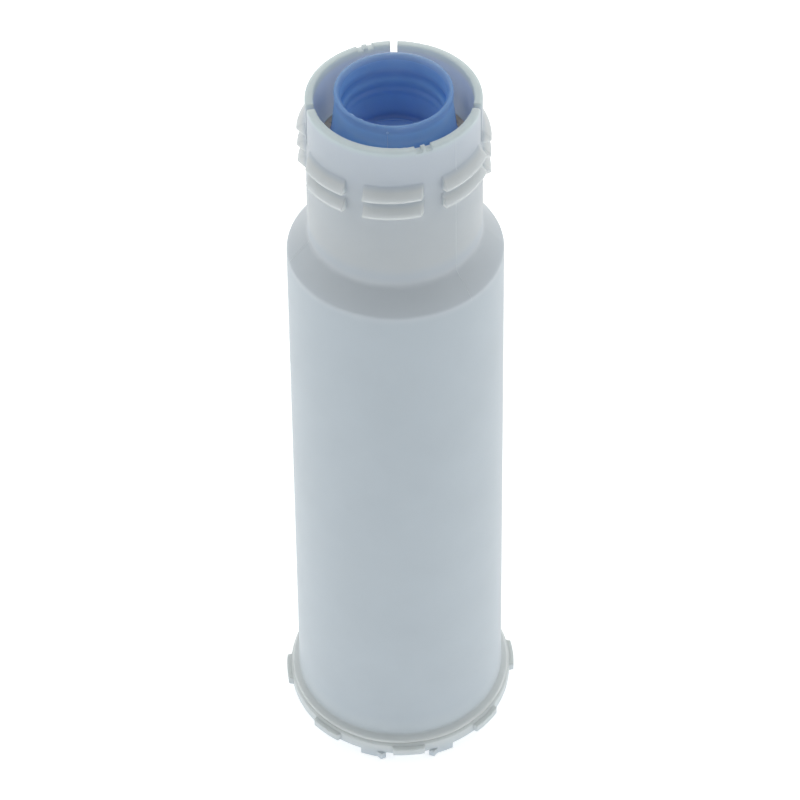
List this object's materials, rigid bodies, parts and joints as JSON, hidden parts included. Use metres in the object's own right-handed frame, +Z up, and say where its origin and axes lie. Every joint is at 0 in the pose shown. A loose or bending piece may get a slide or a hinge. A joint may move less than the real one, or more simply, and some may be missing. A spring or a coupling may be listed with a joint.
{
  "type": "water filter cartridge",
  "caption": "Screw-in water filter cartridge: tapered white housing with an interrupted neck thread, slotted rim, blue outlet socket and a lugged base cap on feet.",
  "frame": {"origin": "centre of the base, under the feet", "axes": "+Z up along the cartridge to its neck and socket, -Y towards the side that the picture shows, +X to its right"},
  "size_m": [0.0462, 0.0462, 0.1523],
  "materials": {
    "white_plastic": "satin moulded polypropylene",
    "blue_plastic": "satin moulded polypropylene",
    "felt": "needled fleece",
    "granules": "loose moist granules"
  },
  "bodies": {
    "root": {"housing": "white_plastic", "base_cap": "white_plastic", "outlet_socket": "blue_plastic", "inlet_screen": "white_plastic", "inlet_fleece": "felt", "riser_tube": "white_plastic", "outlet_screen": "white_plastic", "outlet_fleece": "felt", "resin_bed": "granules"}
  },
  "joints": []
}
